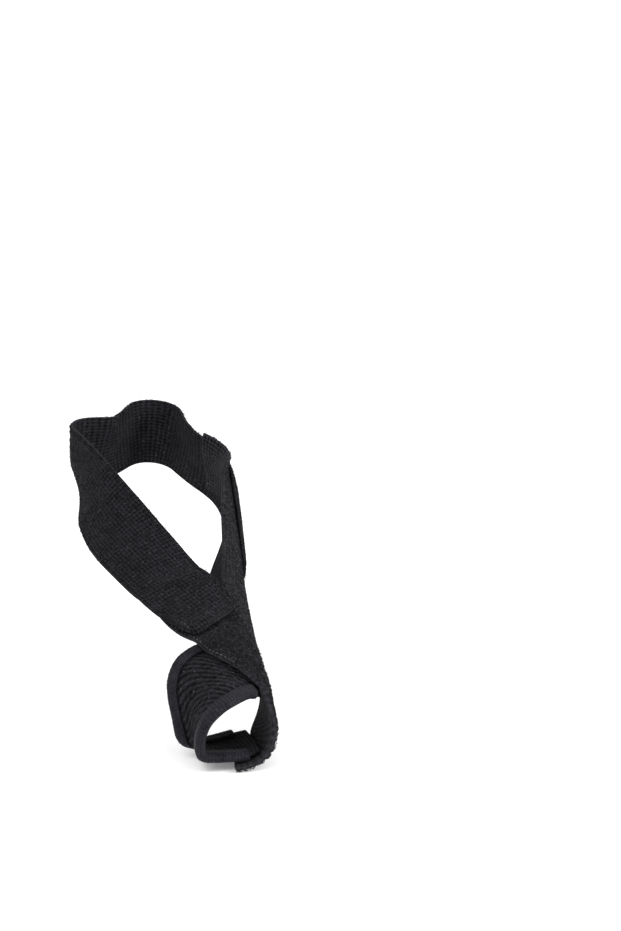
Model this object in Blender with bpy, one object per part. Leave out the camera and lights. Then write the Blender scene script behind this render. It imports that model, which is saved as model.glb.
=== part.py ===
"""Bunion corrector for the right side: a toe wrap and elastic straps, in the form they have when worn.

The straps are laid over a last, a smooth solid that only guides them and is never built. The first
strap lies on the last itself, and each later piece rises over those laid before it.

Frame: +Z up, +X towards the side of the big toe, -Y towards the toe end. The origin is the middle
of the hollow of the toe loop. The tables count in units of 1/240 of the last's length, from the back
of the last at floor level.
"""

import math
from collections import namedtuple

import bmesh
import bpy
import numpy as np
from mathutils import Vector
from mathutils.bvhtree import BVHTree

# Driving sizes, in metres
LAST_LENGTH = 0.240
STRAP_WIDTH = 0.0285
STRAP_THICK = 0.0016
TOE_STRAP_THICK = 0.0018
WRAP_THICK = 0.0021
WRAP_EDGE_THICK = 0.0012
BINDING_WIDTH = 0.0044
BINDING_WALL = 0.0009
LAYER_GAP = 0.00035
BINDING_GAP = 0.0003
REST_HEIGHT = 0.0003

# Shares: how far the rim of a sheet stands out, by its thickness, and the stretch of the wrap's
# length that the bindings cover
RIM_ROUNDING = 0.32
BINDING_SHARES = (0.065, 0.93)

# Spacing of the mesh, in metres
STRAP_STEP = 0.0042
TOE_STEP = 0.0028
WRAP_STEP = 0.0024
STRAP_COLUMNS = 9
TOE_COLUMNS = 11
WRAP_MIDDLE_COLUMNS = 7

# How the straps settle
SLOPE_STEP = 0.0002
SETTLE_ROUNDS = 6
TAUT_ROUNDS = 1500
PULL = 0.9
RAMP_ROUNDS = 9
DENSE = 3
SEARCH_LAYERS = 4

# Signs that turn a grid's normals away from the last
OUT = 1
WRAP_OUT = 1

UNIT = LAST_LENGTH / 240
ORIGIN = np.array((28.5, -207.0, 11.0)) * UNIT

# The last: round cones from one ball to another, joined softly over the blend length
Cone = namedtuple("Cone", "name x0 y0 z0 r0 x1 y1 z1 r1 blend")
LAST = (
    Cone("shaft low", 2, -60, 86, 25.5, 5, -62, 130, 22.5, 9),
    Cone("shaft high", 5, -62, 130, 22.5, 9, -60, 300, 34, 9),
    Cone("back cord", 0, -24, 50, 12, 4, -26, 130, 10, 9),
    Cone("back high", 4, -34, 130, 12, 9, -34, 300, 34, 9),
    Cone("outer knob", -22.3, -44, 76, 9.5, -22, -46, 92, 9.5, 9),
    Cone("inner knob", 24, -60, 86, 10, 22, -58, 96, 8, 9),
    Cone("heel", 0, -28, 28, 28, 0, -50, 40, 27, 9),
    Cone("throat", 1, -52, 58, 28, 2, -74, 62, 27, 9),
    Cone("arch", 14.2, -58, 60, 18, 13, -112, 42, 16.5, 9),
    Cone("ray 1", 8, -84, 53, 22, 22.6, -170, 18.5, 16.2, 9),
    Cone("ray 2", 4, -84, 54, 22, 8, -180, 17, 13.5, 9),
    Cone("ray 3", -4, -84, 48, 22, -8, -176, 16, 13, 9),
    Cone("ray 4", -11, -80, 38, 22, -21, -168, 14, 12.5, 9),
    Cone("ray 5", -13, -76, 28, 23, -33, -160, 13, 12.5, 9),
    Cone("toe 1 inner", 21.5, -178, 16, 12.5, 26.5, -228, 10.6, 8.6, 4),
    Cone("toe 1 outer", 26.3, -178, 16, 12.5, 32.6, -228, 10.6, 8.6, 4),
    Cone("toe 2", 6, -184, 12, 9, 2.5, -232, 8.2, 7.8, 3),
)

# Centre lines of the straps. Wide is the width there as a share of the strap's own width, and
# span is how far the strap may stand off the last there, where it bridges a hollow.
Row = namedtuple("Row", "x y z wide span", defaults=(1, 0.8))
SIDE_BAND = (
    Row(37.6, -178.5, 21.3),
    Row(37.8, -171, 24.5),
    Row(37, -160, 30),
    Row(36, -147, 35),
    Row(35.3, -134, 38),
    Row(34.8, -114, 44.5),
    Row(34.1, -94, 52),
    Row(33.6, -75, 59),
    Row(33, -52, 69),
    Row(27, -36, 75),
)
TOE_STRAP = (
    Row(11, -153, 46.5, 0.98),
    Row(18.4, -166.8, 41.1, 0.98),
    Row(25.6, -176.5, 35.9, 0.88),
    Row(31.7, -185.1, 30.2, 0.80),
    Row(37.2, -192.9, 23.4, 0.80),
    Row(41, -199.3, 16, 0.88),
    Row(42, -203, 9.5, 0.94),
    Row(40.5, -205.5, 4.5, 0.95),
    Row(35.5, -206.5, 1.5, 0.95),
    Row(28.5, -206.5, 1.2, 0.95),
)
ANKLE_STRAP = (
    Row(26.4, -178, 34.4),
    Row(20.2, -169.7, 38.5),
    Row(13.8, -161, 42.5),
    Row(6.8, -150, 47.6),
    Row(-0.5, -137, 53),
    Row(-8.6, -121, 58),
    Row(-15.5, -105, 62.5, 1, 3),
    Row(-20.6, -91, 67, 1, 9),
    Row(-24.5, -75, 71, 1, 14),
    Row(-32, -47, 76.5, 1, 16),
    Row(-17, -22, 80, 1, 16),
    Row(1, -13, 81.5, 1, 16),
    Row(18, -23, 76.5, 1, 16),
    Row(29.5, -40, 67.5, 1, 6),
    Row(33.5, -56, 57, 1, 2),
    Row(34.8, -70, 48.8),
    Row(35, -84, 41),
    Row(34, -101.5, 29.8),
)

# Sections of the toe wrap, from under the toe strap over the top, down beside the toe and under it
Section = namedtuple("Section", "rear middle front")
TOE_WRAP = (
    Section((27, -181, 32.8), (34.5, -193.5, 27.6), (38.6, -206.5, 19.5)),
    Section((21.5, -182, 32), (29.8, -198.5, 27), (35.2, -212.5, 22.4)),
    Section((14.5, -184.5, 31), (22, -203, 26), (29.2, -219.5, 22.3)),
    Section((8.7, -190, 27.6), (17.2, -206, 22.6), (23.8, -223.5, 20.2)),
    Section((6.3, -196.5, 23.2), (14.8, -207, 18.6), (19.6, -225, 16.4)),
    Section((6.4, -201.5, 18.2), (13.6, -206.8, 14), (17.6, -225, 12)),
    Section((7.9, -204.3, 11.6), (13.4, -206, 8.2), (17, -223.3, 7.4)),
    Section((9.6, -203.8, 4.8), (14.2, -205.4, 3.4), (17.6, -221, 3)),
    Section((13.4, -201.2, 1.8), (18.6, -204.6, 1.7), (21.3, -218.8, 1.8)),
    Section((20.2, -196.6, 1.3), (25, -204, 1.3), (27, -217.6, 1.5)),
    Section((27.5, -192.5, 1.8), (31.2, -204, 1.3), (33, -216.8, 1.6)),
    Section((34, -191.5, 3), (37, -203.5, 2.6), (38, -215, 2.8)),
)

# Cut of the strap ends, in rows: how far the corners are rounded, and how far the end slants back,
# on its upper side if positive and on its lower side if negative
End = namedtuple("End", "rounding slant")
ANKLE_END = End(2.2, 2.6)
FLAP_END = End(1.0, -0.5)
END_FADE_ROWS = 9

# Plain finishes: red, green and blue as linear light, and roughness
Finish = namedtuple("Finish", "red green blue roughness")
FINISHES = {
    "elastic": Finish(0.016, 0.015, 0.018, 0.85),
    "loop_pile": Finish(0.020, 0.018, 0.022, 0.95),
    "ribbed_knit": Finish(0.018, 0.017, 0.021, 0.90),
    "binding_tape": Finish(0.026, 0.028, 0.034, 0.60),
}


def clear_scene():
    """Remove every object, so that the script can run again."""
    for item in list(bpy.data.objects):
        bpy.data.objects.remove(item, do_unlink=True)


def lengths(vectors):
    """Lengths of the vectors in the last axis, kept as a column."""
    return np.linalg.norm(vectors, axis=-1, keepdims=True)


def unit(vectors):
    """The vectors scaled to length one."""
    return vectors / np.maximum(lengths(vectors), 1e-12)


def height_over_last(points):
    """Signed distance from each point to the last's surface, positive outside."""
    result = None
    for cone in LAST:
        start = np.array((cone.x0, cone.y0, cone.z0)) * UNIT
        axis = np.array((cone.x1, cone.y1, cone.z1)) * UNIT - start
        share = np.clip((points - start) @ axis / (axis @ axis), 0, 1)
        radius = (cone.r0 + share * (cone.r1 - cone.r0)) * UNIT
        distance = np.linalg.norm(points - start - share[..., None] * axis, axis=-1) - radius
        if result is None:
            result = distance
            continue
        blend = cone.blend * UNIT
        mix = np.clip(0.5 + 0.5 * (distance - result) / blend, 0, 1)
        result = distance * (1 - mix) + result * mix - blend * mix * (1 - mix)
    return result


def away_from_last(points):
    """Unit vectors that point straight away from the last's surface."""
    slope = []
    for axis in np.eye(3) * SLOPE_STEP:
        slope.append(height_over_last(points + axis) - height_over_last(points - axis))
    return unit(np.stack(slope, axis=-1))


def settle(points, height):
    """Move the points straight in or out until they stand at a height over the last."""
    for _ in range(SETTLE_ROUNDS):
        points = points - away_from_last(points) * (height_over_last(points) - height)[..., None]
    return points


def spans(points):
    """Running length along a line of points, starting from zero."""
    steps = np.linalg.norm(np.diff(points, axis=0), axis=1)
    return np.concatenate(([0.0], np.cumsum(steps)))


def curve_through(points, places, at):
    """A smooth curve through points that stand at the given places, read at other places."""
    slopes = np.gradient(points, places, axis=0)
    left = np.clip(np.searchsorted(places, at, side="right") - 1, 0, len(places) - 2)
    gap = (places[left + 1] - places[left])[:, None]
    t = (at - places[left])[:, None] / gap
    start = points[left] * (1 + 2 * t) * (1 - t) ** 2 + points[left + 1] * t**2 * (3 - 2 * t)
    return start + gap * (slopes[left] * t * (1 - t) ** 2 - slopes[left + 1] * t**2 * (1 - t))


def evenly(points, count):
    """The same line with evenly spaced points."""
    places = spans(points)
    return curve_through(points, places, np.linspace(0, places[-1], count))


def smoothed(grid):
    """Each inner row moved halfway to the mean of its neighbours along the strap."""
    result = grid.copy()
    result[1:-1] = grid[1:-1] / 2 + (grid[:-2] + grid[2:]) / 4
    return result


def centre_line(rows, step):
    """Evenly spaced points on the last along the rows of a table, with the width and span of each."""
    line = np.array([row[:3] for row in rows]) * UNIT
    places = spans(line) / spans(line)[-1]
    line = evenly(line, 4 * len(rows))
    line = evenly(settle(line, REST_HEIGHT), 4 * len(rows))
    count = int(round(spans(line)[-1] / step)) + 1
    at = np.linspace(0, 1, count)
    wide = np.interp(at, places, [row.wide for row in rows])
    span = np.interp(at, places, [row.span * UNIT for row in rows])
    return settle(evenly(line, count), REST_HEIGHT), wide[:, None], span[:, None]


def lay_strap(rows, width, columns, step):
    """Grid of points for a strap that lies on the last: rows along it, columns across it."""
    centre, wide, span = centre_line(rows, step)
    grid = np.zeros((len(centre), columns, 3))
    middle = columns // 2
    grid[:, middle] = centre
    for side in (-1, 1):
        line = centre
        for column in range(1, middle + 1):
            along = np.gradient(line, axis=0)
            across = unit(np.cross(away_from_last(line), along)) * side
            line = settle(smoothed(line + across * wide * width / (columns - 1)), REST_HEIGHT)
            grid[:, middle + side * column] = line
    return draw_taut(grid, span)


def draw_taut(grid, span):
    """Let the strap bridge the hollows of the last, as a band under tension does."""
    for _ in range(TAUT_ROUNDS):
        inner = grid[1:-1]
        out = away_from_last(inner)
        pull = np.sum(((grid[:-2] + grid[2:]) / 2 - inner) * out, axis=-1)
        room = height_over_last(inner) - REST_HEIGHT
        grid[1:-1] = inner + out * np.clip(pull * PULL, -room, span[1:-1] - room)[..., None]
    return grid


def outward(grid, flip=1):
    """Unit normals of a grid, softened along and across it."""
    normals = np.cross(np.gradient(grid, axis=0), np.gradient(grid, axis=1)) * flip
    normals = unit(normals)
    for _ in range(2):
        normals = unit(spread(normals))
    return normals


def spread(grid):
    """Each value moved halfway to the mean of its four neighbours."""
    padded = np.pad(grid, ((1, 1), (1, 1)) + ((0, 0),) * (grid.ndim - 2), mode="edge")
    around = padded[:-2, 1:-1] + padded[2:, 1:-1] + padded[1:-1, :-2] + padded[1:-1, 2:]
    return grid / 2 + around / 8


def cut_end(grid, end, first=True):
    """Cut one end of a strap back along a slanting line with rounded corners."""
    rows, columns = grid.shape[:2]
    across = np.linspace(-1, 1, columns)
    index = np.arange(rows, dtype=float)
    from_end = index if first else rows - 1 - index
    fade = np.maximum(0, 1 - from_end / END_FADE_ROWS)
    result = grid.copy()
    for column, place in enumerate(across):
        corner = end.rounding * (1 - math.sqrt(1 - place**4))
        slant = max(end.slant, 0) * (1 - place) / 2 + max(-end.slant, 0) * (1 + place) / 2
        shift = (corner + slant) * fade
        at = index + shift if first else index - shift
        result[:, column] = curve_through(grid[:, column], index, at)
    return result


def denser(grid):
    """The grid with points added between its own, along straight lines."""
    for axis in (0, 1):
        count = grid.shape[axis]
        at = np.linspace(0, count - 1, (count - 1) * DENSE + 1)
        low = np.minimum(at.astype(int), count - 2)
        share = at - low
        share = share.reshape((-1,) + (1,) * (grid.ndim - 1)) if axis == 0 else share[None, :, None]
        grid = np.take(grid, low, axis) * (1 - share) + np.take(grid, low + 1, axis) * share
    return grid


def raise_over(grid, flip, lower):
    """Lift a strap along its normals until it clears the solids below it, with soft ramps."""
    reach = SEARCH_LAYERS * (WRAP_THICK + LAYER_GAP)
    normals = outward(grid, flip)
    points = denser(grid)
    away = unit(denser(normals))
    need = np.zeros(points.shape[:2])
    for tree in lower:
        for i, j in np.ndindex(need.shape):
            start = Vector(points[i, j] + away[i, j] * reach)
            hit = tree.ray_cast(start, Vector(-away[i, j]), reach)
            if hit[0] is not None:
                need[i, j] = max(need[i, j], reach - hit[3] + LAYER_GAP)
    rows, columns = grid.shape[:2]
    lift = np.zeros((rows, columns))
    for i, j in np.ndindex(lift.shape):
        near = need[max(0, (i - 1) * DENSE):(i + 1) * DENSE + 1, max(0, (j - 1) * DENSE):(j + 1) * DENSE + 1]
        lift[i, j] = near.max()
    for _ in range(RAMP_ROUNDS):
        lift = np.maximum(lift, spread(spread(lift)))
    return grid + normals * lift[..., None]


def rim_points(inside, outside):
    """Corner ring of a sheet with its mid points pushed out, so that its edges are rounded."""
    rows, columns = inside.shape[:2]
    ring = [(0, j) for j in range(columns)]
    ring += [(i, columns - 1) for i in range(1, rows)]
    ring += [(rows - 1, j) for j in range(columns - 2, -1, -1)]
    ring += [(i, 0) for i in range(rows - 2, 0, -1)]
    middle = (inside + outside) / 2
    points = []
    for i, j in ring:
        side = np.zeros(3)
        if i in (0, rows - 1):
            side += unit(middle[i, j] - middle[1 if i == 0 else rows - 2, j])
        if j in (0, columns - 1):
            side += unit(middle[i, j] - middle[i, 1 if j == 0 else columns - 2])
        thick = np.linalg.norm(outside[i, j] - inside[i, j])
        points.append(middle[i, j] + unit(side) * thick * RIM_ROUNDING)
    return ring, points


def add_sheet(name, inside, outside, finish):
    """Make one closed body between two matching grids, and return it with its search tree."""
    shape = bmesh.new()
    rows, columns = inside.shape[:2]
    inner = [[shape.verts.new(Vector(inside[i, j] - ORIGIN)) for j in range(columns)] for i in range(rows)]
    outer = [[shape.verts.new(Vector(outside[i, j] - ORIGIN)) for j in range(columns)] for i in range(rows)]
    ring, rim = rim_points(inside, outside)
    edge = [shape.verts.new(Vector(point - ORIGIN)) for point in rim]
    for i in range(rows - 1):
        for j in range(columns - 1):
            shape.faces.new((inner[i][j], inner[i][j + 1], inner[i + 1][j + 1], inner[i + 1][j]))
            shape.faces.new((outer[i][j], outer[i + 1][j], outer[i + 1][j + 1], outer[i][j + 1]))
    for k, (i, j) in enumerate(ring):
        following = (k + 1) % len(ring)
        n, m = ring[following]
        shape.faces.new((inner[i][j], edge[k], edge[following], inner[n][m]))
        shape.faces.new((edge[k], outer[i][j], outer[n][m], edge[following]))
    bmesh.ops.triangulate(shape, faces=shape.faces[:])
    bmesh.ops.recalc_face_normals(shape, faces=shape.faces[:])
    if shape.calc_volume(signed=True) < 0:
        bmesh.ops.reverse_faces(shape, faces=shape.faces[:])
    mesh = bpy.data.meshes.new(name)
    shape.to_mesh(mesh)
    corners = [np.array(vert.co) + ORIGIN for vert in shape.verts]
    shape.verts.index_update()
    faces = [[vert.index for vert in face.verts] for face in shape.faces]
    shape.free()
    mesh.shade_smooth()
    item = bpy.data.objects.new(name, mesh)
    bpy.context.scene.collection.objects.link(item)
    item.data.materials.append(material(finish))
    return BVHTree.FromPolygons([Vector(corner) for corner in corners], faces)


def material(name):
    """The plain finish of that name, made once."""
    if name in bpy.data.materials:
        return bpy.data.materials[name]
    finish = FINISHES[name]
    result = bpy.data.materials.new(name)
    result.use_nodes = True
    shader = result.node_tree.nodes["Principled BSDF"]
    shader.inputs["Base Color"].default_value = (finish.red, finish.green, finish.blue, 1)
    shader.inputs["Roughness"].default_value = finish.roughness
    shader.inputs["Metallic"].default_value = 0
    return result


def add_strap(name, grid, flip, thickness, finish):
    """A strap of even thickness on its laid grid."""
    return add_sheet(name, grid, grid + outward(grid, flip) * thickness, finish)


def wrap_grid():
    """Grid of the toe wrap: curves along it through its sections, and a curve across each."""
    lines = [np.array([section[k] for section in TOE_WRAP]) * UNIT for k in range(3)]
    places = spans(lines[1])
    count = int(round(places[-1] / WRAP_STEP)) + 1
    at = np.linspace(0, places[-1], count)
    rear, middle, front = [curve_through(line, places, at) for line in lines]
    edge = [0, BINDING_WIDTH / 2]
    rows = []
    for points in np.stack((rear, middle, front), axis=1):
        fine = evenly(curve_through(points, spans(points), np.linspace(0, spans(points)[-1], 41)), 81)
        width = spans(fine)[-1]
        inner = np.linspace(BINDING_WIDTH, width - BINDING_WIDTH, WRAP_MIDDLE_COLUMNS)
        across = np.concatenate((edge, inner, [width - edge[1], width]))
        rows.append(curve_through(fine, spans(fine), across))
    return np.array(rows)


def wrap_thickness(columns):
    """Thickness of the wrap at each column: thin inside the bindings, full between them."""
    thick = np.full(columns, WRAP_THICK)
    thick[:3] = WRAP_EDGE_THICK
    thick[-3:] = WRAP_EDGE_THICK
    return thick[None, :, None]


def binding(grid, normals, columns):
    """Inside and outside grids of a folded tape round one edge of the wrap.

    The columns run from the wrap's edge inwards. The tape starts on the inner face, goes round
    the edge and ends on the outer face. The toe strap covers both its ends.
    """
    first, last = [int(round(share * (len(grid) - 1))) for share in BINDING_SHARES]
    grid, normals = grid[first:last + 1], normals[first:last + 1]
    edge, nearest = columns[0], columns[1]
    beyond = unit(grid[:, edge] - grid[:, nearest])
    grids = []
    for offset in (BINDING_GAP, BINDING_GAP + BINDING_WALL):
        inner = [grid[:, k] - normals[:, k] * offset for k in reversed(columns)]
        outer = [grid[:, k] + normals[:, k] * (WRAP_EDGE_THICK + offset) for k in columns]
        nose = grid[:, edge] + normals[:, edge] * WRAP_EDGE_THICK / 2
        nose = nose + beyond * (offset + RIM_ROUNDING * WRAP_EDGE_THICK)
        grids.append(np.stack(inner + [nose] + outer, axis=1))
    return grids


def main():
    """Lay the pieces from the innermost to the outermost."""
    clear_scene()

    side = lay_strap(SIDE_BAND, STRAP_WIDTH, STRAP_COLUMNS, STRAP_STEP)
    side_tree = add_strap("side_band", side, OUT, STRAP_THICK, "loop_pile")

    wrap = wrap_grid()
    normals = outward(wrap, WRAP_OUT)
    columns = wrap.shape[1]
    wrap_tree = add_sheet("toe_wrap", wrap, wrap + normals * wrap_thickness(columns), "ribbed_knit")
    edges = {"rear_binding": [0, 1, 2], "front_binding": [columns - 1, columns - 2, columns - 3]}
    binding_trees = []
    for name, picked in edges.items():
        inside, outside = binding(wrap, normals, picked)
        binding_trees.append(add_sheet(name, inside, outside, "binding_tape"))

    toe = lay_strap(TOE_STRAP, STRAP_WIDTH, TOE_COLUMNS, TOE_STEP)
    toe = raise_over(toe, OUT, [side_tree, wrap_tree] + binding_trees)
    toe_tree = add_strap("toe_strap", toe, OUT, TOE_STRAP_THICK, "loop_pile")

    ankle = lay_strap(ANKLE_STRAP, STRAP_WIDTH, STRAP_COLUMNS, STRAP_STEP)
    ankle = cut_end(ankle, ANKLE_END)
    ankle = cut_end(ankle, FLAP_END, first=False)
    ankle = raise_over(ankle, OUT, [side_tree, toe_tree])
    add_strap("ankle_strap", ankle, OUT, STRAP_THICK, "elastic")


main()
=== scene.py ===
"""Looks of the bunion corrector: its straps as woven, looped and knitted cloth, its bindings and threads.

The straps are laid by the same tables and rules as the solids that they stand for, read at a finer
spacing. Frame: metres, +Z up, +X towards the side of the big toe, -Y towards the toe end.
"""

import math
from collections import namedtuple

import bpy
import numpy as np
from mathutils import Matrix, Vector
from mathutils.bvhtree import BVHTree


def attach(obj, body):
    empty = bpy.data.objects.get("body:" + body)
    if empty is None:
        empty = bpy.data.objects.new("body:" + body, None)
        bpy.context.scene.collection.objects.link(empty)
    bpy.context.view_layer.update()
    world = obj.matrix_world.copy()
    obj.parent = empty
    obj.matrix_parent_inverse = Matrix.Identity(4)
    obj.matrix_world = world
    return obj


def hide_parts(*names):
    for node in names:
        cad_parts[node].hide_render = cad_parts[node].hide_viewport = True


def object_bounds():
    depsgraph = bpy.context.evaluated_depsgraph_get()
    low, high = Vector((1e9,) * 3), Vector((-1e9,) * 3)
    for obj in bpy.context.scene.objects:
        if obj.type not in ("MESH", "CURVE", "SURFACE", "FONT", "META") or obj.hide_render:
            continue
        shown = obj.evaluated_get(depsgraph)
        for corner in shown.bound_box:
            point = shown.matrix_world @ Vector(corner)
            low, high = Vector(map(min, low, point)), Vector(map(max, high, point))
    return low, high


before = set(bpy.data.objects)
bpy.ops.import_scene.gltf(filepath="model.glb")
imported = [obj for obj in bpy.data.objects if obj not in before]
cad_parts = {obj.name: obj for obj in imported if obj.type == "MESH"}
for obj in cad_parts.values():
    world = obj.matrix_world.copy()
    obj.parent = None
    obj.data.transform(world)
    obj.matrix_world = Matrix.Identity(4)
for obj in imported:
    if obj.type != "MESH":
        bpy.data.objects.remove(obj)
CAD_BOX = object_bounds()

MM = 0.001

# Driving sizes, in metres
LAST_LENGTH = 0.240
STRAP_WIDTH = 0.0285
STRAP_THICK = 0.0016
TOE_STRAP_THICK = 0.0018
WRAP_THICK = 0.0021
WRAP_EDGE_THICK = 0.0012
BINDING_WIDTH = 0.0044
BINDING_WALL = 0.0009
LAYER_GAP = 0.00035
BINDING_GAP = 0.0003
REST_HEIGHT = 0.0003
RIM_ROUNDING = 0.32
BINDING_SHARES = (0.065, 0.93)

# Spacing of the laid grids, in metres
STRAP_STEP = 0.0042
TOE_STEP = 0.0028
WRAP_STEP = 0.0024
STRAP_COLUMNS = 9
TOE_COLUMNS = 11
WRAP_MIDDLE_COLUMNS = 7

# How the straps settle
SLOPE_STEP = 0.0002
SETTLE_ROUNDS = 6
TAUT_ROUNDS = 1500
PULL = 0.9
RAMP_ROUNDS = 9
DENSE = 3
SEARCH_LAYERS = 4

UNIT = LAST_LENGTH / 240
ORIGIN = np.array((28.5, -207.0, 11.0)) * UNIT

# The last: round cones from one ball to another, joined softly over the blend length
Cone = namedtuple("Cone", "name x0 y0 z0 r0 x1 y1 z1 r1 blend")
LAST = (
    Cone("shaft low", 2, -60, 86, 25.5, 5, -62, 130, 22.5, 9),
    Cone("shaft high", 5, -62, 130, 22.5, 9, -60, 300, 34, 9),
    Cone("back cord", 0, -24, 50, 12, 4, -26, 130, 10, 9),
    Cone("back high", 4, -34, 130, 12, 9, -34, 300, 34, 9),
    Cone("outer knob", -22.3, -44, 76, 9.5, -22, -46, 92, 9.5, 9),
    Cone("inner knob", 24, -60, 86, 10, 22, -58, 96, 8, 9),
    Cone("heel", 0, -28, 28, 28, 0, -50, 40, 27, 9),
    Cone("throat", 1, -52, 58, 28, 2, -74, 62, 27, 9),
    Cone("arch", 14.2, -58, 60, 18, 13, -112, 42, 16.5, 9),
    Cone("ray 1", 8, -84, 53, 22, 22.6, -170, 18.5, 16.2, 9),
    Cone("ray 2", 4, -84, 54, 22, 8, -180, 17, 13.5, 9),
    Cone("ray 3", -4, -84, 48, 22, -8, -176, 16, 13, 9),
    Cone("ray 4", -11, -80, 38, 22, -21, -168, 14, 12.5, 9),
    Cone("ray 5", -13, -76, 28, 23, -33, -160, 13, 12.5, 9),
    Cone("toe 1 inner", 21.5, -178, 16, 12.5, 26.5, -228, 10.6, 8.6, 4),
    Cone("toe 1 outer", 26.3, -178, 16, 12.5, 32.6, -228, 10.6, 8.6, 4),
    Cone("toe 2", 6, -184, 12, 9, 2.5, -232, 8.2, 7.8, 3),
)

# Centre lines of the straps. Wide is the width there as a share of the strap's own width, and
# span is how far the strap may stand off the last there, where it bridges a hollow.
Row = namedtuple("Row", "x y z wide span", defaults=(1, 0.8))
SIDE_BAND = (
    Row(37.6, -178.5, 21.3),
    Row(37.8, -171, 24.5),
    Row(37, -160, 30),
    Row(36, -147, 35),
    Row(35.3, -134, 38),
    Row(34.8, -114, 44.5),
    Row(34.1, -94, 52),
    Row(33.6, -75, 59),
    Row(33, -52, 69),
    Row(27, -36, 75),
)
TOE_STRAP = (
    Row(11, -153, 46.5, 0.98),
    Row(18.4, -166.8, 41.1, 0.98),
    Row(25.6, -176.5, 35.9, 0.88),
    Row(31.7, -185.1, 30.2, 0.80),
    Row(37.2, -192.9, 23.4, 0.80),
    Row(41, -199.3, 16, 0.88),
    Row(42, -203, 9.5, 0.94),
    Row(40.5, -205.5, 4.5, 0.95),
    Row(35.5, -206.5, 1.5, 0.95),
    Row(28.5, -206.5, 1.2, 0.95),
)
ANKLE_STRAP = (
    Row(26.4, -178, 34.4),
    Row(20.2, -169.7, 38.5),
    Row(13.8, -161, 42.5),
    Row(6.8, -150, 47.6),
    Row(-0.5, -137, 53),
    Row(-8.6, -121, 58),
    Row(-15.5, -105, 62.5, 1, 3),
    Row(-20.6, -91, 67, 1, 9),
    Row(-24.5, -75, 71, 1, 14),
    Row(-32, -47, 76.5, 1, 16),
    Row(-17, -22, 80, 1, 16),
    Row(1, -13, 81.5, 1, 16),
    Row(18, -23, 76.5, 1, 16),
    Row(29.5, -40, 67.5, 1, 6),
    Row(33.5, -56, 57, 1, 2),
    Row(34.8, -70, 48.8),
    Row(35, -84, 41),
    Row(34, -101.5, 29.8),
)

# Sections of the toe wrap, from under the toe strap over the top, down beside the toe and under it
Section = namedtuple("Section", "rear middle front")
TOE_WRAP = (
    Section((27, -181, 32.8), (34.5, -193.5, 27.6), (38.6, -206.5, 19.5)),
    Section((21.5, -182, 32), (29.8, -198.5, 27), (35.2, -212.5, 22.4)),
    Section((14.5, -184.5, 31), (22, -203, 26), (29.2, -219.5, 22.3)),
    Section((8.7, -190, 27.6), (17.2, -206, 22.6), (23.8, -223.5, 20.2)),
    Section((6.3, -196.5, 23.2), (14.8, -207, 18.6), (19.6, -225, 16.4)),
    Section((6.4, -201.5, 18.2), (13.6, -206.8, 14), (17.6, -225, 12)),
    Section((7.9, -204.3, 11.6), (13.4, -206, 8.2), (17, -223.3, 7.4)),
    Section((9.6, -203.8, 4.8), (14.2, -205.4, 3.4), (17.6, -221, 3)),
    Section((13.4, -201.2, 1.8), (18.6, -204.6, 1.7), (21.3, -218.8, 1.8)),
    Section((20.2, -196.6, 1.3), (25, -204, 1.3), (27, -217.6, 1.5)),
    Section((27.5, -192.5, 1.8), (31.2, -204, 1.3), (33, -216.8, 1.6)),
    Section((34, -191.5, 3), (37, -203.5, 2.6), (38, -215, 2.8)),
)

# Cut of the strap ends, in rows
End = namedtuple("End", "rounding slant")
ANKLE_END = End(2.2, 2.6)
FLAP_END = End(1.0, -0.5)
END_FADE_ROWS = 9


def lengths(vectors):
    """Lengths of the vectors in the last axis, kept as a column."""
    return np.linalg.norm(vectors, axis=-1, keepdims=True)


def unit(vectors):
    """The vectors scaled to length one."""
    return vectors / np.maximum(lengths(vectors), 1e-12)


def height_over_last(points):
    """Signed distance from each point to the last's surface, positive outside."""
    result = None
    for cone in LAST:
        start = np.array((cone.x0, cone.y0, cone.z0)) * UNIT
        axis = np.array((cone.x1, cone.y1, cone.z1)) * UNIT - start
        share = np.clip((points - start) @ axis / (axis @ axis), 0, 1)
        radius = (cone.r0 + share * (cone.r1 - cone.r0)) * UNIT
        distance = np.linalg.norm(points - start - share[..., None] * axis, axis=-1) - radius
        if result is None:
            result = distance
            continue
        blend = cone.blend * UNIT
        mix = np.clip(0.5 + 0.5 * (distance - result) / blend, 0, 1)
        result = distance * (1 - mix) + result * mix - blend * mix * (1 - mix)
    return result


def away_from_last(points):
    """Unit vectors that point straight away from the last's surface."""
    slope = []
    for axis in np.eye(3) * SLOPE_STEP:
        slope.append(height_over_last(points + axis) - height_over_last(points - axis))
    return unit(np.stack(slope, axis=-1))


def settle(points, height):
    """Move the points straight in or out until they stand at a height over the last."""
    for _ in range(SETTLE_ROUNDS):
        points = points - away_from_last(points) * (height_over_last(points) - height)[..., None]
    return points


def spans(points):
    """Running length along a line of points, starting from zero."""
    steps = np.linalg.norm(np.diff(points, axis=0), axis=1)
    return np.concatenate(([0.0], np.cumsum(steps)))


def curve_through(points, places, at):
    """A smooth curve through points that stand at the given places, read at other places."""
    slopes = np.gradient(points, places, axis=0)
    left = np.clip(np.searchsorted(places, at, side="right") - 1, 0, len(places) - 2)
    gap = (places[left + 1] - places[left])[:, None]
    t = (at - places[left])[:, None] / gap
    start = points[left] * (1 + 2 * t) * (1 - t) ** 2 + points[left + 1] * t**2 * (3 - 2 * t)
    return start + gap * (slopes[left] * t * (1 - t) ** 2 - slopes[left + 1] * t**2 * (1 - t))


def evenly(points, count):
    """The same line with evenly spaced points."""
    places = spans(points)
    return curve_through(points, places, np.linspace(0, places[-1], count))


def smoothed(grid):
    """Each inner row moved halfway to the mean of its neighbours along the strap."""
    result = grid.copy()
    result[1:-1] = grid[1:-1] / 2 + (grid[:-2] + grid[2:]) / 4
    return result


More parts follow.
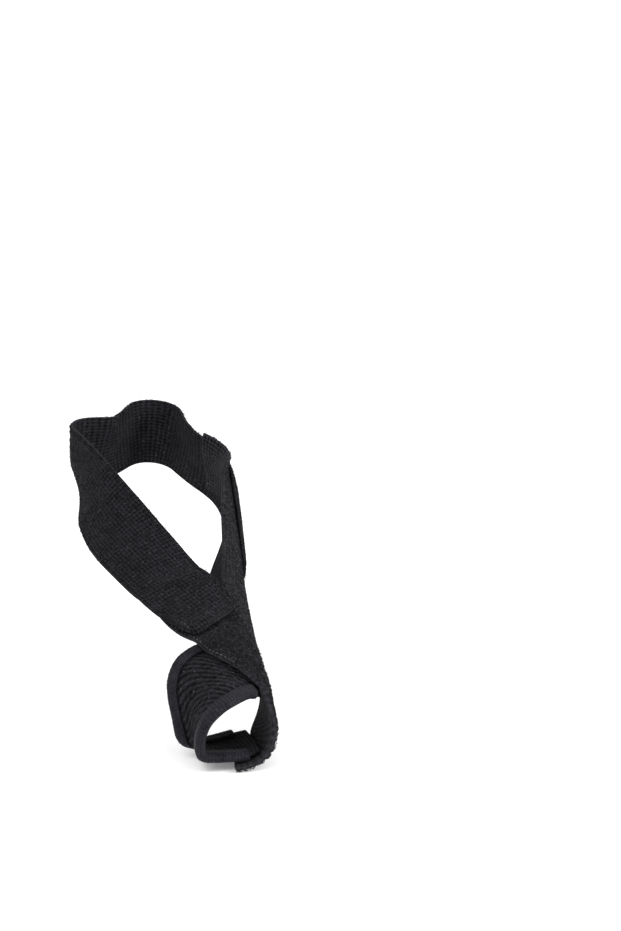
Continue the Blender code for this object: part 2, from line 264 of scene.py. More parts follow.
def centre_line(rows, step):
    """Evenly spaced points on the last along the rows of a table, with the width and span of each."""
    line = np.array([row[:3] for row in rows]) * UNIT
    places = spans(line) / spans(line)[-1]
    line = evenly(line, 4 * len(rows))
    line = evenly(settle(line, REST_HEIGHT), 4 * len(rows))
    count = int(round(spans(line)[-1] / step)) + 1
    at = np.linspace(0, 1, count)
    wide = np.interp(at, places, [row.wide for row in rows])
    span = np.interp(at, places, [row.span * UNIT for row in rows])
    return settle(evenly(line, count), REST_HEIGHT), wide[:, None], span[:, None]


def lay_strap(rows, width, columns, step):
    """Grid of points for a strap that lies on the last: rows along it, columns across it."""
    centre, wide, span = centre_line(rows, step)
    grid = np.zeros((len(centre), columns, 3))
    middle = columns // 2
    grid[:, middle] = centre
    for side in (-1, 1):
        line = centre
        for column in range(1, middle + 1):
            along = np.gradient(line, axis=0)
            across = unit(np.cross(away_from_last(line), along)) * side
            line = settle(smoothed(line + across * wide * width / (columns - 1)), REST_HEIGHT)
            grid[:, middle + side * column] = line
    return draw_taut(grid, span)


def draw_taut(grid, span):
    """Let the strap bridge the hollows of the last, as a band under tension does."""
    for _ in range(TAUT_ROUNDS):
        inner = grid[1:-1]
        out = away_from_last(inner)
        pull = np.sum(((grid[:-2] + grid[2:]) / 2 - inner) * out, axis=-1)
        room = height_over_last(inner) - REST_HEIGHT
        grid[1:-1] = inner + out * np.clip(pull * PULL, -room, span[1:-1] - room)[..., None]
    return grid


def outward(grid):
    """Unit normals of a grid, softened along and across it."""
    normals = unit(np.cross(np.gradient(grid, axis=0), np.gradient(grid, axis=1)))
    for _ in range(2):
        normals = unit(spread(normals))
    return normals


def spread(grid):
    """Each value moved halfway to the mean of its four neighbours."""
    padded = np.pad(grid, ((1, 1), (1, 1)) + ((0, 0),) * (grid.ndim - 2), mode="edge")
    around = padded[:-2, 1:-1] + padded[2:, 1:-1] + padded[1:-1, :-2] + padded[1:-1, 2:]
    return grid / 2 + around / 8


def cut_end(grid, end, first=True):
    """Cut one end of a strap back along a slanting line with rounded corners."""
    rows, columns = grid.shape[:2]
    across = np.linspace(-1, 1, columns)
    index = np.arange(rows, dtype=float)
    from_end = index if first else rows - 1 - index
    fade = np.maximum(0, 1 - from_end / END_FADE_ROWS)
    result = grid.copy()
    for column, place in enumerate(across):
        corner = end.rounding * (1 - math.sqrt(1 - place**4))
        slant = max(end.slant, 0) * (1 - place) / 2 + max(-end.slant, 0) * (1 + place) / 2
        shift = (corner + slant) * fade
        at = index + shift if first else index - shift
        result[:, column] = curve_through(grid[:, column], index, at)
    return result


def denser(grid):
    """The grid with points added between its own, along straight lines."""
    for axis in (0, 1):
        count = grid.shape[axis]
        at = np.linspace(0, count - 1, (count - 1) * DENSE + 1)
        low = np.minimum(at.astype(int), count - 2)
        share = at - low
        share = share.reshape((-1,) + (1,) * (grid.ndim - 1)) if axis == 0 else share[None, :, None]
        grid = np.take(grid, low, axis) * (1 - share) + np.take(grid, low + 1, axis) * share
    return grid


def raise_over(grid, lower):
    """Lift a strap along its normals until it clears the sheets below it, with soft ramps."""
    reach = SEARCH_LAYERS * (WRAP_THICK + LAYER_GAP)
    normals = outward(grid)
    points = denser(grid)
    away = unit(denser(normals))
    need = np.zeros(points.shape[:2])
    for tree in lower:
        for i, j in np.ndindex(need.shape):
            start = Vector(points[i, j] + away[i, j] * reach)
            hit = tree.ray_cast(start, Vector(-away[i, j]), reach)
            if hit[0] is not None:
                need[i, j] = max(need[i, j], reach - hit[3] + LAYER_GAP)
    rows, columns = grid.shape[:2]
    lift = np.zeros((rows, columns))
    for i, j in np.ndindex(lift.shape):
        near = need[max(0, (i - 1) * DENSE):(i + 1) * DENSE + 1, max(0, (j - 1) * DENSE):(j + 1) * DENSE + 1]
        lift[i, j] = near.max()
    for _ in range(RAMP_ROUNDS):
        lift = np.maximum(lift, spread(spread(lift)))
    return grid + normals * lift[..., None]


def search_tree(outside):
    """Search tree over the outer face of a laid sheet."""
    rows, columns = outside.shape[:2]
    index = np.arange(rows * columns).reshape(rows, columns)
    quads = np.stack((index[:-1, :-1], index[1:, :-1], index[1:, 1:], index[:-1, 1:]), axis=-1)
    return BVHTree.FromPolygons(outside.reshape(-1, 3).tolist(), quads.reshape(-1, 4).tolist())


def wrap_grid():
    """Grid of the toe wrap: curves along it through its sections, and a curve across each."""
    lines = [np.array([section[k] for section in TOE_WRAP]) * UNIT for k in range(3)]
    places = spans(lines[1])
    count = int(round(places[-1] / WRAP_STEP)) + 1
    at = np.linspace(0, places[-1], count)
    rear, middle, front = [curve_through(line, places, at) for line in lines]
    edge = [0, BINDING_WIDTH / 2]
    rows = []
    for points in np.stack((rear, middle, front), axis=1):
        fine = evenly(curve_through(points, spans(points), np.linspace(0, spans(points)[-1], 41)), 81)
        width = spans(fine)[-1]
        inner = np.linspace(BINDING_WIDTH, width - BINDING_WIDTH, WRAP_MIDDLE_COLUMNS)
        across = np.concatenate((edge, inner, [width - edge[1], width]))
        rows.append(curve_through(fine, spans(fine), across))
    return np.array(rows)


def wrap_thickness(columns):
    """Thickness of the wrap at each column: thin inside the bindings, full between them."""
    thick = np.full(columns, WRAP_THICK)
    thick[:3] = WRAP_EDGE_THICK
    thick[-3:] = WRAP_EDGE_THICK
    return thick[None, :, None]


def binding(grid, normals, columns):
    """Inside and outside grids of a folded tape round one edge of the wrap."""
    first, last = [int(round(share * (len(grid) - 1))) for share in BINDING_SHARES]
    grid, normals = grid[first:last + 1], normals[first:last + 1]
    edge, nearest = columns[0], columns[1]
    beyond = unit(grid[:, edge] - grid[:, nearest])
    grids = []
    for offset in (BINDING_GAP, BINDING_GAP + BINDING_WALL):
        inner = [grid[:, k] - normals[:, k] * offset for k in reversed(columns)]
        outer = [grid[:, k] + normals[:, k] * (WRAP_EDGE_THICK + offset) for k in columns]
        nose = grid[:, edge] + normals[:, edge] * WRAP_EDGE_THICK / 2
        nose = nose + beyond * (offset + RIM_ROUNDING * WRAP_EDGE_THICK)
        grids.append(np.stack(inner + [nose] + outer, axis=1))
    return grids


def laid_sheets():
    """Inside and outside grids of every piece, laid in order, in the part's own frame."""
    sheets = {}
    side = lay_strap(SIDE_BAND, STRAP_WIDTH, STRAP_COLUMNS, STRAP_STEP)
    sheets["side_band"] = (side, side + outward(side) * STRAP_THICK)
    wrap = wrap_grid()
    normals = outward(wrap)
    columns = wrap.shape[1]
    sheets["toe_wrap"] = (wrap, wrap + normals * wrap_thickness(columns))
    sheets["rear_binding"] = binding(wrap, normals, [0, 1, 2])
    sheets["front_binding"] = binding(wrap, normals, [columns - 1, columns - 2, columns - 3])
    trees = {name: search_tree(outside) for name, (_, outside) in sheets.items()}
    toe = lay_strap(TOE_STRAP, STRAP_WIDTH, TOE_COLUMNS, TOE_STEP)
    toe = raise_over(toe, list(trees.values()))
    sheets["toe_strap"] = (toe, toe + outward(toe) * TOE_STRAP_THICK)
    trees["toe_strap"] = search_tree(sheets["toe_strap"][1])
    ankle = lay_strap(ANKLE_STRAP, STRAP_WIDTH, STRAP_COLUMNS, STRAP_STEP)
    ankle = cut_end(cut_end(ankle, ANKLE_END), FLAP_END, first=False)
    ankle = raise_over(ankle, [trees["side_band"], trees["toe_strap"]])
    sheets["ankle_strap"] = (ankle, ankle + outward(ankle) * STRAP_THICK)
    return {name: (inside - ORIGIN, outside - ORIGIN) for name, (inside, outside) in sheets.items()}


# Fine surfaces

Fine = namedtuple("Fine", "middle normals half along across place_along place_across")
RIM_POINTS = 5
INNER_STRIDE = 3
END_FLOOR = 0.25


def read_grid(grid, rows, columns):
    """A grid read at other places along and across it, on a smooth surface through its points."""
    count, wide = grid.shape[:2]
    tall = curve_through(grid.reshape(count, -1), np.arange(count), rows)
    tall = tall.reshape(len(rows), wide, 3).transpose(1, 0, 2).reshape(wide, -1)
    both = curve_through(tall, np.arange(wide), columns)
    return both.reshape(len(columns), len(rows), 3).transpose(1, 0, 2)


def rim_places(length, step, rim):
    """Places along a length that crowd together within the rim at either end."""
    near = rim * (1 - np.cos(np.linspace(0, math.pi / 2, RIM_POINTS)))[1:]
    inner = np.linspace(rim, length - rim, max(3, int(round((length - 2 * rim) / step)) + 1))[1:-1]
    return np.concatenate(([0], near, inner, length - near[::-1], [length]))


def fine_sheet(inside, outside, step_along, step_across):
    """The middle surface of a laid sheet at a fine spacing, with its normals and half thickness."""
    middle = (inside + outside) / 2
    half = lengths(outside - inside)[..., 0] / 2
    length = spans(middle[:, middle.shape[1] // 2])[-1]
    width = np.mean([spans(row)[-1] for row in middle])
    rim = 2 * half.mean()
    along = rim_places(length, step_along, rim / 2)
    across = rim_places(width, step_across, rim / 2)
    rows = along / length * (middle.shape[0] - 1)
    columns = across / width * (middle.shape[1] - 1)
    fine = read_grid(middle, rows, columns)
    normals = unit(np.cross(np.gradient(fine, along, axis=0), np.gradient(fine, across, axis=1)))
    thick = read_grid(np.repeat(half[..., None], 3, axis=-1), rows, columns)[..., 0]
    place_along, place_across = np.meshgrid(along, across, indexing="ij")
    return Fine(fine, normals, thick, along, across, place_along, place_across)


def slanted(fine, turn, first, last):
    """A fine sheet whose ribs start turned by an angle and come straight between two shares of its length."""
    share = np.clip((fine.along / fine.along[-1] - first) / (last - first), 0, 1)
    angle = turn * (1 - share * share * (3 - 2 * share))
    steps = np.diff(fine.along, prepend=0) * np.cos(angle)
    lines = np.cumsum(steps)[:, None] + np.sin(angle)[:, None] * fine.place_across
    return fine._replace(place_along=lines)


def rim_shape(places, rim, floor):
    """How the thickness falls off round the rim at both ends of a length, from 1 to a floor."""
    near = np.clip(np.minimum(places, places[-1] - places) / rim, 0, 1)
    return np.maximum(np.sqrt(1 - (1 - near) ** 2), floor)


def build_sheet(name, fine, relief):
    """One closed mesh round a fine sheet, with raised relief on its faces and rounded edges."""
    rim = float(fine.half.mean())
    round_off = rim_shape(fine.along, rim, END_FLOOR)[:, None] * rim_shape(fine.across, rim, 0.0)[None]
    outer = fine.middle + fine.normals * ((fine.half + relief) * round_off)[..., None]
    inner = fine.middle - fine.normals * (fine.half * round_off)[..., None]
    rows, columns = fine.half.shape
    last = columns - RIM_POINTS
    picked = [*range(1, RIM_POINTS), *range(RIM_POINTS, last, INNER_STRIDE), *range(last, columns - 1)]
    ring = np.concatenate((outer, inner[:, picked[::-1]]), axis=1)
    around = np.concatenate((fine.across, fine.across[picked[::-1]]))
    size = ring.shape[1]
    index = np.arange(rows * size).reshape(rows, size)
    following = np.roll(index, -1, axis=1)
    sides = np.stack((index[:-1], following[:-1], following[1:], index[1:]), axis=-1).reshape(-1, 4)
    caps = cap_faces(columns, picked)
    faces = sides.tolist()
    faces += [[index[0, k] for k in reversed(face)] for face in caps]
    faces += [[index[-1, k] for k in face] for face in caps]
    lines = np.concatenate((fine.place_along, fine.place_along[:, picked[::-1]]), axis=1)
    uv = np.stack(np.broadcast_arrays(around[None], lines), axis=-1).reshape(-1, 2)
    return make_mesh(name, ring.reshape(-1, 3), faces, uv)


def cap_faces(columns, picked):
    """Faces that close a ring of outer and inner points at one end, as places in the ring."""
    size = columns + len(picked)
    inner = {column: size - 1 - k for k, column in enumerate(picked)}
    stops = [0] + picked + [columns - 1]
    faces = []
    for left, right in zip(stops[:-1], stops[1:]):
        top = list(range(left, right + 1))
        under = [inner[k] for k in (right, left) if k in inner]
        faces.append(top + under)
    return faces


def make_mesh(name, points, faces, uv=None):
    """A smooth mesh object from points and faces, with the places along and across it as its map."""
    mesh = bpy.data.meshes.new(name)
    mesh.from_pydata(np.asarray(points).tolist(), [], faces)
    if uv is not None:
        corners = np.zeros(len(mesh.loops), dtype=np.int32)
        mesh.loops.foreach_get("vertex_index", corners)
        layer = mesh.uv_layers.new(name="cloth")
        layer.uv.foreach_set("vector", (uv[corners] / MM).astype(np.float32).ravel())
    mesh.shade_smooth()
    item = bpy.data.objects.new(name, mesh)
    bpy.context.scene.collection.objects.link(item)
    return item


# Finishes

# Scales of the noises in the cloth: those of the fibres, the grain, the patches and the glints are
# per metre, those of the wandering threads and of the glint groups per millimetre of the map
FIBRE_SCALE = 2600.0
GRAIN_SCALE = 1000.0
PATCH_SCALE = 140.0
GLINT_SCALE = 900.0
WANDER_SCALE = 0.22
GROUP_SCALE = 1.3
THREAD_WANDER = 1.6

# How much the fibres, the grid and the patches add to the shade, and the range that it is read in. The grid's
# share is painted shade in the pits of the weave and painted light on its grains; the fibres and patches are
# random tone.
FIBRE_SHARE = 1.3
PAINTED_WEAVE_SHADE_SHARE = 0.5
PATCH_SHARE = 0.5
SHADE_RANGE = (0.65, 1.15)
GLINT_RANGE = (0.36, 0.46)

# Surface of the cloth
SPECULAR_LEVEL = 0.05
SHEEN_ROUGHNESS = 0.55
BUMP_DEPTH = 0.0005
BUMP_STRENGTH = 0.7


class Nodes:
    """Short calls that build a material's node tree."""

    def __init__(self, name):
        self.material = bpy.data.materials.new(name)
        self.material.use_nodes = True
        self.tree = self.material.node_tree
        self.shader = self.tree.nodes["Principled BSDF"]

    def add(self, kind, **settings):
        node = self.tree.nodes.new(kind)
        for key, value in settings.items():
            setattr(node, key, value)
        return node

    def link(self, source, target):
        self.tree.links.new(source, target)

    def feed(self, socket, value):
        if isinstance(value, bpy.types.NodeSocket):
            self.link(value, socket)
        else:
            socket.default_value = value

    def math(self, operation, first, second=0.0, third=0.0):
        node = self.add("ShaderNodeMath", operation=operation)
        for socket, value in zip(node.inputs, (first, second, third)):
            self.feed(socket, value)
        return node.outputs[0]

    def noise(self, vector, scale, detail=2.0, roughness=0.5):
        node = self.add("ShaderNodeTexNoise")
        self.feed(node.inputs["Vector"], vector)
        node.inputs["Scale"].default_value = scale
        node.inputs["Detail"].default_value = detail
        node.inputs["Roughness"].default_value = roughness
        return node.outputs[0]

    def ramp(self, value, stops):
        node = self.add("ShaderNodeValToRGB")
        self.feed(node.inputs[0], value)
        elements = node.color_ramp.elements
        while len(elements) < len(stops):
            elements.new(0.5)
        for element, (place, colour) in zip(elements, stops):
            element.position = place
            element.color = (*colour, 1)
        return node.outputs[0]

    def between(self, value, low, high):
        node = self.add("ShaderNodeMapRange")
        self.feed(node.inputs[0], value)
        node.inputs[1].default_value = low
        node.inputs[2].default_value = high
        return node.outputs[0]

    def mix(self, share, first, second, blend="MIX"):
        node = self.add("ShaderNodeMix", data_type="RGBA", blend_type=blend)
        self.feed(node.inputs[0], share)
        for socket, value in ((node.inputs[6], first), (node.inputs[7], second)):
            self.feed(socket, (*value, 1) if isinstance(value, tuple) else value)
        return node.outputs[2]

    def bump(self, height, distance, strength=1.0, normal=None):
        node = self.add("ShaderNodeBump")
        node.inputs["Strength"].default_value = strength
        node.inputs["Distance"].default_value = distance
        self.feed(node.inputs["Height"], height)
        if normal is not None:
            self.link(normal, node.inputs["Normal"])
        return node.outputs[0]


def cloth(name, dark, light, glint, weave, sheen, roughness, glints=0.5, shares=(0.5, 0.5)):
    """Black cloth: threads in the grid of its weave, with fibres and small glints.

    Shares weigh the waves across and along. The waves paint shade into the pits of the weave and light onto
    its grains.
    """
    nodes = Nodes(name)
    place = nodes.add("ShaderNodeUVMap", uv_map="cloth").outputs[0]
    split = nodes.add("ShaderNodeSeparateXYZ")
    nodes.link(place, split.inputs[0])
    solid = nodes.add("ShaderNodeTexCoord").outputs["Object"]
    wander = nodes.noise(place, WANDER_SCALE, 2.0)
    wander = nodes.math("MULTIPLY", nodes.math("SUBTRACT", wander, 0.5), THREAD_WANDER)
    waves = []
    for axis, pitch in enumerate((weave.across, weave.along)):
        turn = nodes.math("MULTIPLY", split.outputs[axis], 2 * math.pi / pitch)
        waves.append(nodes.math("COSINE", nodes.math("ADD", turn, wander)))
    grid = nodes.math("MULTIPLY_ADD", waves[0], shares[0] / 2, 0.5)
    grid = nodes.math("MULTIPLY_ADD", waves[1], shares[1] / 2, grid)
    fibre = nodes.math("ADD", nodes.noise(solid, FIBRE_SCALE, 3.0, 0.6), nodes.noise(solid, GRAIN_SCALE, 2.0))
    fibre = nodes.math("MULTIPLY", fibre, 0.5)
    patch = nodes.math("SUBTRACT", nodes.noise(solid, PATCH_SCALE, 3.0, 0.55), 0.5)
    # The grid's waves darken the colour in the pits of the weave and lighten it on the grains: painted shade
    # and painted light
    shade = nodes.math("MULTIPLY_ADD", fibre, FIBRE_SHARE, nodes.math("MULTIPLY", grid, PAINTED_WEAVE_SHADE_SHARE))
    shade = nodes.math("ADD", shade, nodes.math("MULTIPLY", patch, PATCH_SHARE))
    colour = nodes.ramp(nodes.between(shade, *SHADE_RANGE), ((0.0, dark), (1.0, light)))
    spark = nodes.math("MULTIPLY", nodes.noise(solid, GLINT_SCALE, 1.0), nodes.noise(place, GROUP_SCALE, 1.0))
    spark = nodes.between(spark, *GLINT_RANGE)
    colour = nodes.mix(nodes.math("MULTIPLY", spark, glints), colour, glint)
    nodes.link(colour, nodes.shader.inputs["Base Color"])
    rough = nodes.math("MULTIPLY_ADD", fibre, 0.25, roughness - 0.12)
    nodes.link(rough, nodes.shader.inputs["Roughness"])
    nodes.shader.inputs["Sheen Weight"].default_value = sheen
    nodes.shader.inputs["Sheen Roughness"].default_value = SHEEN_ROUGHNESS
    nodes.shader.inputs["Specular IOR Level"].default_value = SPECULAR_LEVEL
    height = nodes.math("MULTIPLY_ADD", grid, 0.6, nodes.math("MULTIPLY", fibre, 0.5))
    nodes.link(nodes.bump(height, BUMP_DEPTH, BUMP_STRENGTH), nodes.shader.inputs["Normal"])
    return nodes.material


def dress(item, material, node=None):
    """Give a piece its finish, and let it stand for its solid if it has one."""
    item.data.materials.append(material)
    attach(item, "root")
    if node:
        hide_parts(node)
    return item


# Pitch of the weave across and along a strap, in millimetres, and the height of its relief
Weave = namedtuple("Weave", "across along height")
ELASTIC = Weave(1.55, 2.2, 0.30)
PILE = Weave(1.8, 1.8, 0.24)
KNIT = Weave(1.9, 1.5, 0.40)
TAPE = Weave(1.4, 1.2, 0.08)
SEWN = Weave(0.5, 0.5, 0.0)

# How far the loops of the nap lie from the grains, as a share of the pitch
LATTICE_DRIFT = 0.22

# How far the ribs of the wrap start turned, and the shares of its length between which they straighten
WRAP_TURN = math.radians(50)
WRAP_STRAIGHTENS = (0.35, 0.8)

# Waves that bend the lines of the relief: swing in radians, and length along and across in millimetres
WANDER = ((0.9, 9.0, 14.0), (0.7, 5.3, -6.1))


def weave_relief(fine, weave, shares=(0.5, 0.5)):
    """Height of the woven grid over the face of a fine sheet."""
    drift = 0
    for swing, pitch_along, pitch_across in WANDER:
        turn = fine.place_along / (pitch_along * MM) + fine.place_across / (pitch_across * MM)
        drift = drift + swing * np.sin(2 * math.pi * turn)
    across = np.cos(2 * math.pi * fine.place_across / (weave.across * MM) + drift)
    along = np.cos(2 * math.pi * fine.place_along / (weave.along * MM) + drift)
    return (shares[0] * across + shares[1] * along) * weave.height * MM / 2


# Threads


def face_points(fine, along, across, height):
    """Points over the outer face of a fine sheet at places along and across it, with the normals."""
    rows = np.clip(np.interp(along, fine.along, np.arange(len(fine.along))), 0, len(fine.along) - 1.001)
    columns = np.interp(across, fine.across, np.arange(len(fine.across)))
    columns = np.clip(columns, 0, len(fine.across) - 1.001)
    i, j = rows.astype(int), columns.astype(int)
    a, b = (rows - i)[:, None], (columns - j)[:, None]

    def read(grid):
        low = grid[i, j] * (1 - b) + grid[i, j + 1] * b
        high = grid[i + 1, j] * (1 - b) + grid[i + 1, j + 1] * b
        return low * (1 - a) + high * a

    normals = unit(read(fine.normals))
    half = read(fine.half[..., None])
    return read(fine.middle) + normals * (half + np.reshape(height, (-1, 1))), normals


def add_threads(name, stations, radius, material):
    """Many short threads in one mesh: three-sided tubes through three stations each."""
    count = len(stations[0])
    radius = np.broadcast_to(radius, count)[:, None]
    ahead = unit(stations[2] - stations[0])
    side = unit(np.cross(ahead, unit(stations[1] - (stations[0] + stations[2]) / 2 + 1e-9)))
    up = np.cross(side, ahead)
    rings = []
    for station, share in zip(stations, (0.8, 1.0, 0.55)):
        for k in range(3):
            turn = 2 * math.pi * k / 3
            rings.append(station + (side * math.cos(turn) + up * math.sin(turn)) * radius * share)
    points = np.stack(rings, axis=1)
    base = np.arange(count)[:, None] * 9
    quads = []
    for ring in (0, 3):
        for k in range(3):
            after = (k + 1) % 3
            quads.append(np.concatenate(
                (base + ring + k, base + ring + after, base + ring + 3 + after, base + ring + 3 + k), axis=1))
    first_end = np.concatenate((base + 2, base + 1, base), axis=1)
    last_end = np.concatenate((base + 6, base + 7, base + 8), axis=1)
    faces = np.concatenate(quads).tolist() + np.concatenate((first_end, last_end)).tolist()
    uv = np.repeat(np.arange(count), 9)[:, None] * np.array([[0.37, 0.61]]) % 20 * MM
    item = make_mesh(name, points.reshape(-1, 3), faces, uv)
    return dress(item, material)


def add_nap(name, fine, weave, count, height, reach, radius, material, seed):
    """Small loops of yarn on the grains of the weave over the outer face, one thread to each loop."""
    draw = np.random.default_rng(seed)
    along = draw.uniform(0.2 * MM, fine.along[-1] - 0.2 * MM, count)
    across = draw.uniform(0.2 * MM, fine.across[-1] - 0.2 * MM, count)
    if weave:
        grain_along, grain_across = weave.along * MM, weave.across * MM
        along = (np.round(along / grain_along) + draw.normal(0, LATTICE_DRIFT, count)) * grain_along
        across = (np.round(across / grain_across) + draw.normal(0, LATTICE_DRIFT, count)) * grain_across
    turn = draw.uniform(0, 2 * math.pi, count)
    step = reach * draw.uniform(0.5, 1.0, count)
    tall = height * draw.uniform(0.4, 1.0, count)
    stations = []
    for share, rise in ((-0.5, -0.15 * MM), (0.1, None), (0.5, -0.05 * MM)):
        points, _ = face_points(
            fine,
            along + step * share * np.cos(turn),
            across + step * share * np.sin(turn),
            tall if rise is None else np.full(count, rise),
        )
        stations.append(points)
    return add_threads(name, stations, radius * draw.uniform(0.7, 1.2, count), material)


def add_stitches(name, fine, lines, pitch, length, rise, radius, material, seed):
    """Rows of stitches along a sheet. A line is its place across, and its first and last place along."""
    draw = np.random.default_rng(seed)
    along, across = [], []
    for place, first, last in lines:
        starts = np.arange(first, last, pitch)
        along.append(starts + draw.normal(0, 0.04 * MM, len(starts)))
        across.append(np.full(len(starts), place) + draw.normal(0, 0.05 * MM, len(starts)))
    along, across = np.concatenate(along), np.concatenate(across)
    stations = []
    for share, height in ((0.0, -0.1 * MM), (0.5, rise), (1.0, -0.1 * MM)):
        points, _ = face_points(fine, along + length * share, across, np.full(len(along), height))
        stations.append(points)
    return add_threads(name, stations, radius, material)


def add_selvage(name, fine, pitch, length, material, seed):
    """Short ribs across both edges of a strap, as its selvage shows."""
    draw = np.random.default_rng(seed)
    along = np.arange(1.0 * MM, fine.along[-1] - 1.0 * MM, pitch)
    stations = [[], [], []]
    for edge in (0, 1):
        jitter = draw.normal(0, 0.1 * MM, len(along))
        path = ((0.12 * MM, -0.35 * MM), (length / 2, 0.12 * MM), (length, -0.1 * MM))
        for k, (place, height) in enumerate(path):
            across = np.full(len(along), place) + jitter * (k > 0)
            if edge:
                across = fine.across[-1] - across
            points, _ = face_points(fine, along + 0.2 * MM * k * draw.uniform(-1, 1, len(along)), across,
                                    np.full(len(along), height))
            stations[k].append(points)
    return add_threads(name, [np.concatenate(part) for part in stations], 0.26 * MM, material)


def add_fray(name, fine, count, first, reach, material, seed):
    """Loose threads that stand out of a cut end, at the first or last row of a strap."""
    draw = np.random.default_rng(seed)
    row = 0 if first else -1
    inward = 3 if first else -4
    columns = draw.integers(2, len(fine.across) - 2, count)
    roots = fine.middle[row, columns]
    ahead = unit(roots - fine.middle[inward, columns])
    sideways = unit(fine.middle[row, -1] - fine.middle[row, 0])
    normals = fine.normals[row, columns]
    long = reach * draw.uniform(0.3, 1.0, (count, 1)) ** 1.5
    drift = draw.normal(0, 0.5, (count, 1))
    lift = draw.uniform(-0.35, 0.5, (count, 1))
    height = fine.half[row, columns][:, None] * draw.uniform(-0.7, 0.7, (count, 1))
    root = roots + normals * height - ahead * 0.5 * MM
    middle = root + (ahead + sideways * drift * 0.4 + normals * lift * 0.3) * (long / 2 + 0.5 * MM)
    tip = root + (ahead * 0.9 + sideways * drift + normals * lift) * long + ahead * 0.5 * MM
    return add_threads(name, [root, middle, tip], 0.09 * MM, material)


sheets = laid_sheets()

# Each finish: its darkest tone, its lightest tone and its glint colour. The span from dark to light also
# carries the painted shade in the weave's pits and the painted light on its grains.
BLACK_ELASTIC = (0.0008, 0.0008, 0.0010), (0.0160, 0.0156, 0.0188), (0.07, 0.07, 0.08)
BLACK_PILE = (0.0004, 0.0004, 0.0006), (0.0240, 0.0222, 0.0265), (0.09, 0.09, 0.10)
BLACK_KNIT = (0.0006, 0.0006, 0.0008), (0.0165, 0.0158, 0.0192), (0.08, 0.08, 0.09)
BLUE_BLACK_TAPE = (0.0025, 0.0026, 0.0036), (0.0190, 0.0188, 0.0245), (0.06, 0.06, 0.07)
GREY_THREAD = (0.060, 0.060, 0.068), (0.150, 0.150, 0.165), (0.3, 0.3, 0.32)

elastic = cloth("elastic", *BLACK_ELASTIC, ELASTIC, sheen=0.012, roughness=0.88)
pile = cloth("loop_pile", *BLACK_PILE, PILE, sheen=0.022, roughness=0.92)
knit = cloth("ribbed_knit", *BLACK_KNIT, KNIT, sheen=0.012, roughness=0.88, shares=(0.25, 0.75))
tape = cloth("binding_tape", *BLUE_BLACK_TAPE, TAPE, sheen=0.02, roughness=0.65, glints=0.2,
             shares=(0.1, 0.3))
thread = cloth("sewing_thread", *GREY_THREAD, SEWN, sheen=0.05, roughness=0.6, glints=0.2)

fine = fine_sheet(*sheets["ankle_strap"], step_along=0.5 * MM, step_across=0.38 * MM)
item = build_sheet("elastic_ankle_strap", fine, weave_relief(fine, ELASTIC))
dress(item, elastic, "ankle_strap")
add_nap("ankle_strap_nap", fine, ELASTIC, count=9000, height=0.42 * MM, reach=0.9 * MM,
        radius=0.11 * MM, material=elastic, seed=11)
add_selvage("ankle_strap_selvage", fine, pitch=1.7 * MM, length=2.4 * MM,
            material=elastic, seed=12)
add_fray("flap_end_threads", fine, count=160, first=False, reach=4.4 * MM,
         material=elastic, seed=13)
add_fray("sewn_end_threads", fine, count=60, first=True, reach=1.6 * MM,
         material=elastic, seed=14)
width = fine.across[-1]
lines = [(width * share, 2.5 * MM, 9 * MM) for share in (0.1, 0.5, 0.9)]
add_stitches("sewn_end_stitches", fine, lines, pitch=2.0 * MM, length=1.3 * MM, rise=0.25 * MM,
             radius=0.10 * MM, material=thread, seed=15)

fine = fine_sheet(*sheets["side_band"], step_along=0.45 * MM, step_across=0.45 * MM)
item = build_sheet("loop_side_band", fine, weave_relief(fine, PILE))
dress(item, pile, "side_band")
add_nap("side_band_nap", fine, PILE, count=7500, height=0.45 * MM, reach=1.1 * MM,
        radius=0.12 * MM, material=pile, seed=21)
add_selvage("side_band_selvage", fine, pitch=1.7 * MM, length=2.2 * MM,
            material=pile, seed=22)
add_fray("side_band_threads", fine, count=60, first=True, reach=1.4 * MM,
         material=pile, seed=23)

fine = fine_sheet(*sheets["toe_strap"], step_along=0.38 * MM, step_across=0.38 * MM)
item = build_sheet("loop_toe_strap", fine, weave_relief(fine, PILE))
dress(item, pile, "toe_strap")
add_nap("toe_strap_nap", fine, PILE, count=8000, height=0.55 * MM, reach=1.2 * MM,
        radius=0.14 * MM, material=pile, seed=31)
inset, first, last = 0.9 * MM, 4 * MM, fine.along[-1] * 0.6
lines = [(inset, first, last), (fine.across[-1] - inset, first, last)]
add_stitches("toe_strap_stitches", fine, lines, pitch=2.0 * MM, length=1.4 * MM, rise=0.3 * MM,
             radius=0.11 * MM, material=thread, seed=32)

fine = fine_sheet(*sheets["toe_wrap"], step_along=0.3 * MM, step_across=0.4 * MM)
fine = slanted(fine, WRAP_TURN, *WRAP_STRAIGHTENS)
item = build_sheet("knitted_toe_wrap", fine, weave_relief(fine, KNIT, (0.2, 0.8)))
dress(item, knit, "toe_wrap")
add_nap("toe_wrap_nap", fine, None, count=3500, height=0.25 * MM, reach=0.9 * MM,
        radius=0.09 * MM, material=knit, seed=41)

for seed, name in enumerate(("rear_binding", "front_binding"), 51):
    fine = fine_sheet(*sheets[name], step_along=0.4 * MM, step_across=0.3 * MM)
    item = build_sheet("folded_" + name, fine, weave_relief(fine, TAPE, (0.2, 0.8)))
    dress(item, tape, name)
    add_nap(name + "_nap", fine, None, count=900, height=0.16 * MM, reach=0.9 * MM,
            radius=0.08 * MM, material=tape, seed=seed + 2)
    lines = [(fine.across[-1] - 0.8 * MM, 1 * MM, fine.along[-1] - 3 * MM)]
    add_stitches(name + "_stitches", fine, lines, pitch=2.1 * MM, length=1.5 * MM, rise=0.08 * MM,
                 radius=0.10 * MM, material=tape, seed=seed)


# Stage

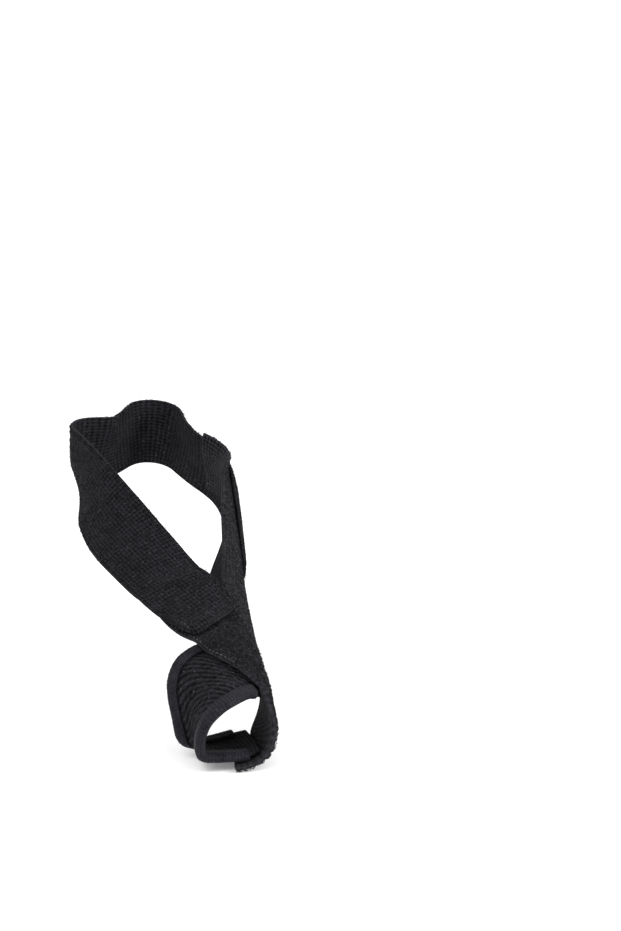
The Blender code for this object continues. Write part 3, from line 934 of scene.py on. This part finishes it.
CAMERA_PLACE = (-0.0305, -0.841, 0.275)
CAMERA_YAW = 4.02
CAMERA_PITCH = 12.03
FOCAL_PIXELS = 2407
IMAGE_HEIGHT = 931
SENSOR = 36.0
LIT_PLACE = (0, 0.08, 0.02)
FLOOR_SIZE = 60.0
FLOOR_GAP = 0.0004
FLOOR_GLOW = 0.14


def add_camera():
    """The camera, at the place and angle from which the part was pictured."""
    data = bpy.data.cameras.new("camera")
    data.sensor_width = SENSOR
    data.lens = FOCAL_PIXELS * SENSOR / IMAGE_HEIGHT
    data.clip_start = 0.01
    item = bpy.data.objects.new("camera", data)
    bpy.context.scene.collection.objects.link(item)
    yaw, pitch = math.radians(CAMERA_YAW), math.radians(CAMERA_PITCH)
    ahead = Vector((math.sin(yaw) * math.cos(pitch), math.cos(yaw) * math.cos(pitch), -math.sin(pitch)))
    item.location = CAMERA_PLACE
    item.rotation_mode = "QUATERNION"
    item.rotation_quaternion = ahead.to_track_quat("-Z", "Y")
    bpy.context.scene.camera = item


def add_light(name, place, size, power):
    """One square soft light."""
    data = bpy.data.lights.new(name, "AREA")
    data.size = size
    data.energy = power
    item = bpy.data.objects.new(name, data)
    bpy.context.scene.collection.objects.link(item)
    item.location = place
    item.rotation_mode = "QUATERNION"
    item.rotation_quaternion = (Vector(LIT_PLACE) - Vector(place)).to_track_quat("-Z", "Y")


def add_floor():
    """A wide pale floor under the part's lowest point."""
    size = FLOOR_SIZE
    level = CAD_BOX[0].z - FLOOR_GAP
    corners = [(-size, -size, level), (size, -size, level), (size, size, level), (-size, size, level)]
    item = make_mesh("floor", corners, [[0, 1, 2, 3]])
    nodes = Nodes("floor")
    place = nodes.add("ShaderNodeTexCoord").outputs["Object"]
    tone = nodes.ramp(nodes.noise(place, 3.0, 2.0), ((0.3, (0.86, 0.86, 0.86)), (0.7, (0.9, 0.9, 0.9))))
    nodes.link(tone, nodes.shader.inputs["Base Color"])
    nodes.shader.inputs["Roughness"].default_value = 0.8
    nodes.shader.inputs["Emission Color"].default_value = (1, 1, 1, 1)
    nodes.shader.inputs["Emission Strength"].default_value = FLOOR_GLOW
    item.data.materials.append(nodes.material)


def add_world():
    """Even white light from all round."""
    world = bpy.data.worlds.new("world")
    world.use_nodes = True
    background = world.node_tree.nodes["Background"]
    background.inputs[0].default_value = (1, 1, 1, 1)
    background.inputs[1].default_value = 1.0
    bpy.context.scene.world = world


add_camera()
add_light("key", (-0.5, -0.7, 0.9), size=0.6, power=9)
add_light("side", (0.9, -0.2, 0.5), size=0.5, power=9)
add_floor()
add_world()
bpy.context.scene.view_settings.view_transform = "Standard"
